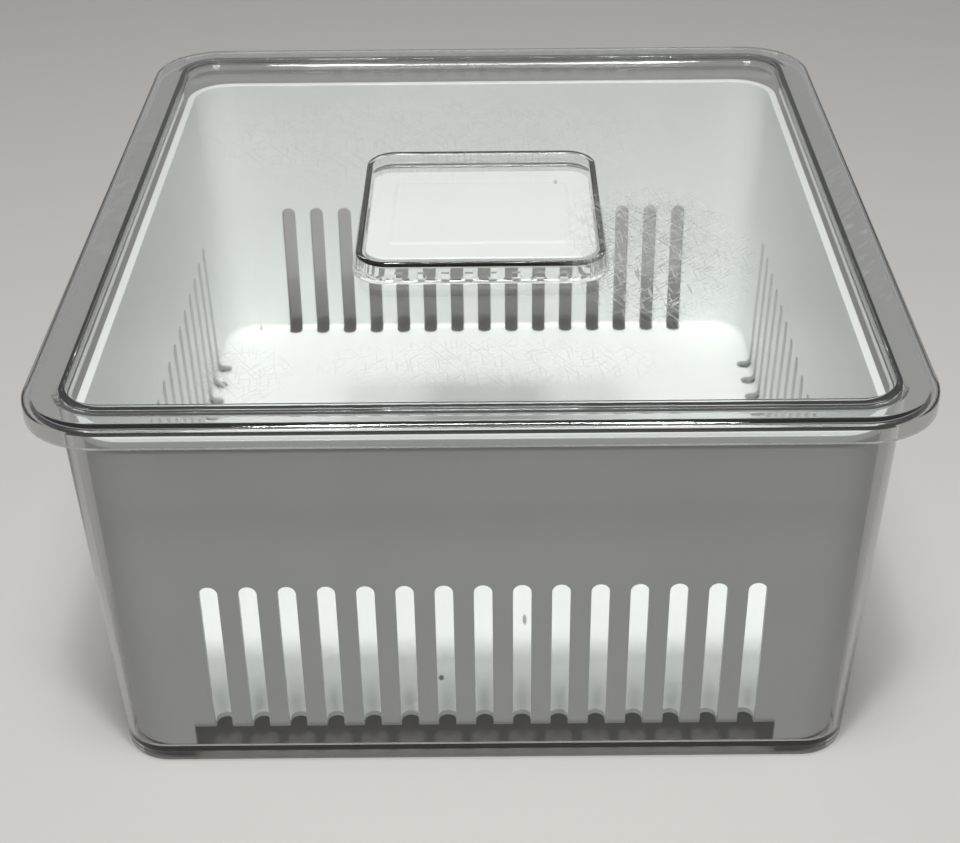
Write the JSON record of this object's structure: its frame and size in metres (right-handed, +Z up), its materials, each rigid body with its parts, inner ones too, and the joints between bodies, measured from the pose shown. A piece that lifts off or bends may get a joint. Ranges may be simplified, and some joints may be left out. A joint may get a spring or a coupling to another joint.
{
  "type": "covered container",
  "caption": "Clear rectangular food keeper with a white slotted drain basket inside and a clear recessed lid with a raised vent housing.",
  "frame": {"origin": "under the middle of the bin, on the surface it stands on", "axes": "+X to the right, +Y to the back (the longer side), +Z up; the wall with the vents of the housing faces -Y"},
  "size_m": [0.272, 0.3046, 0.1447],
  "materials": {
    "clear_plastic": "clear, glossy",
    "white_plastic": "white, semi-gloss"
  },
  "bodies": {
    "container": {"bin": "clear_plastic", "basket": "white_plastic"},
    "cover": {"lid": "clear_plastic", "vent_plate": "white_plastic"}
  },
  "joints": [
    {"name": "lid_lift", "type": "slide", "parent": "container", "child": "cover", "axis": [0, 0, 1], "range_m": [0, 0.06]}
  ]
}
